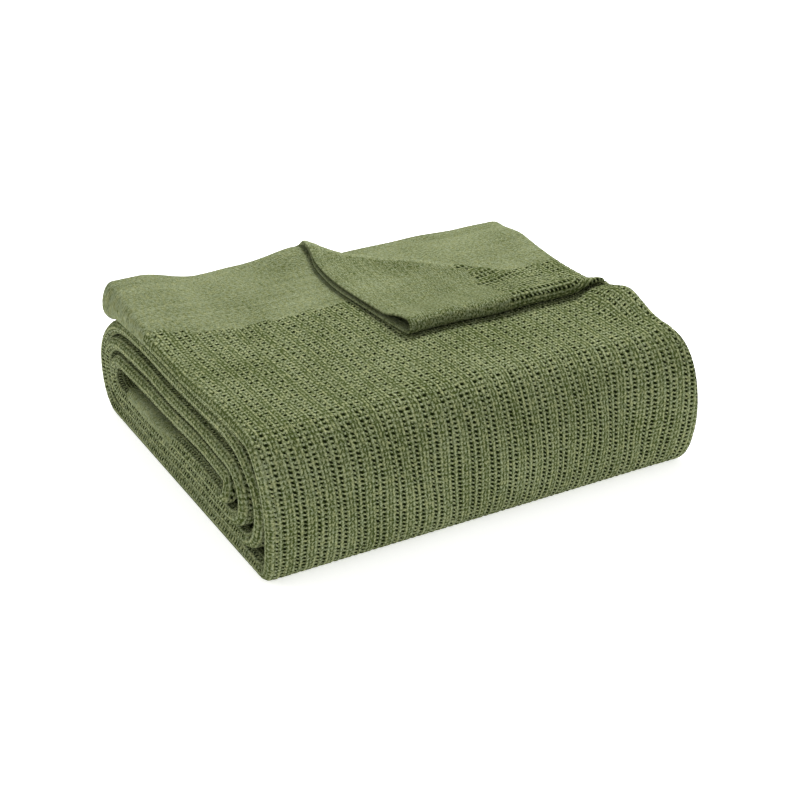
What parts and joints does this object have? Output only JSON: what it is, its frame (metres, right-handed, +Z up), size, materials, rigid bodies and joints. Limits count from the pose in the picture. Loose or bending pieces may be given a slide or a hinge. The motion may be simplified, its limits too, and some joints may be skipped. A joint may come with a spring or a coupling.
{
  "type": "thermal blanket",
  "caption": "Cotton thermal blanket with a leno mesh middle and plain headers, folded in plies, rolled up flat, with its top back corner turned over.",
  "frame": {"origin": "on the surface that the roll lies on, under the middle of its box", "axes": "+Z up; X along the roll; -Y towards the front, where the outermost bend is; the free end of the cloth lies on top with its hem towards +Y, and the turned corner is at +X, +Y"},
  "size_m": [0.3574, 0.3082, 0.1148],
  "materials": {
    "blanket_cloth": "matt sage green cotton, open cellular weave with plain headers"
  },
  "bodies": {
    "root": {"blanket": "blanket_cloth"}
  },
  "joints": []
}
